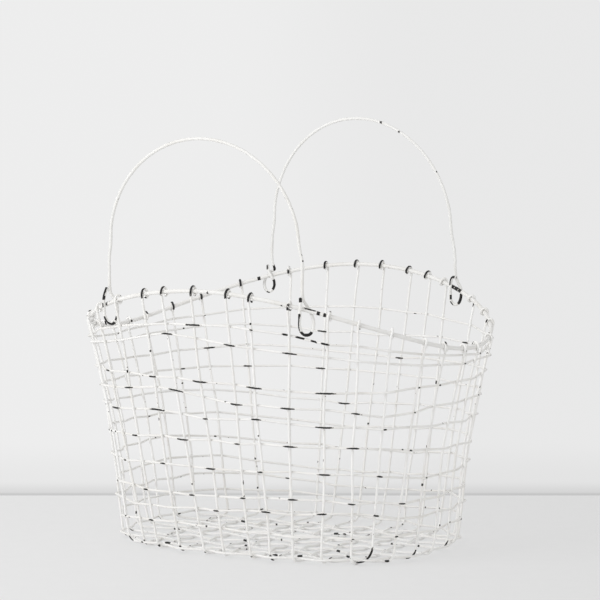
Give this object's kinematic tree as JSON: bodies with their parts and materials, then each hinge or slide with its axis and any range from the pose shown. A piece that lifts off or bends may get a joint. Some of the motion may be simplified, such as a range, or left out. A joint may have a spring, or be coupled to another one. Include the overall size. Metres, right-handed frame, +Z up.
{
  "type": "shopping basket",
  "caption": "Oval open-top shopping basket woven from painted steel wire, with a saddle-shaped rim and two arched wire handles that swing on it.",
  "frame": {"origin": "middle of the basket's footprint, at the underside of its floor", "axes": "+Z up, +X along the oval towards its right end seen from the near side, +Y across it towards the far side"},
  "size_m": [0.4069, 0.3428, 0.4159],
  "materials": {
    "rim_wire": "worn matt white paint over steel wire, darker where it is rubbed",
    "stake_wire": "worn matt white paint over steel wire, chipped at the hooks and bends",
    "ring_wire": "worn matt white paint over steel wire, rubbed to bare metal where it passes outside a stake",
    "handle_wire": "worn matt white paint over steel wire, rubbed bare at the eyes"
  },
  "bodies": {
    "basket": {"rim_hoop": "rim_wire", "cross_stake_01": "stake_wire", "cross_stake_02": "stake_wire", "cross_stake_03": "stake_wire", "cross_stake_04": "stake_wire", "cross_stake_05": "stake_wire", "cross_stake_06": "stake_wire", "cross_stake_07": "stake_wire", "cross_stake_08": "stake_wire", "cross_stake_09": "stake_wire", "cross_stake_10": "stake_wire", "long_stake_01": "stake_wire", "long_stake_02": "stake_wire", "long_stake_03": "stake_wire", "long_stake_04": "stake_wire", "long_stake_05": "stake_wire", "long_stake_06": "stake_wire", "long_stake_07": "stake_wire", "long_stake_08": "stake_wire", "ring_01": "ring_wire", "ring_02": "ring_wire", "ring_03": "ring_wire", "ring_04": "ring_wire", "ring_05": "ring_wire", "ring_06": "ring_wire", "ring_07": "ring_wire", "ring_08": "ring_wire", "ring_09": "ring_wire", "ring_10": "ring_wire", "ring_11": "ring_wire"},
    "near_handle": {"near_handle": "handle_wire"},
    "far_handle": {"far_handle": "handle_wire"}
  },
  "joints": [
    {"name": "near_handle_swing", "type": "hinge", "parent": "basket", "child": "near_handle", "pos_m": [-0.0093, -0.1452, 0.24149], "axis": [0.9991, -0.041, 0.0117], "range_deg": [-60, 8]},
    {"name": "far_handle_swing", "type": "hinge", "parent": "basket", "child": "far_handle", "pos_m": [0.00544, 0.14573, 0.24668], "axis": [-0.9993, 0.0239, 0.0272], "range_deg": [-50, 12]}
  ]
}
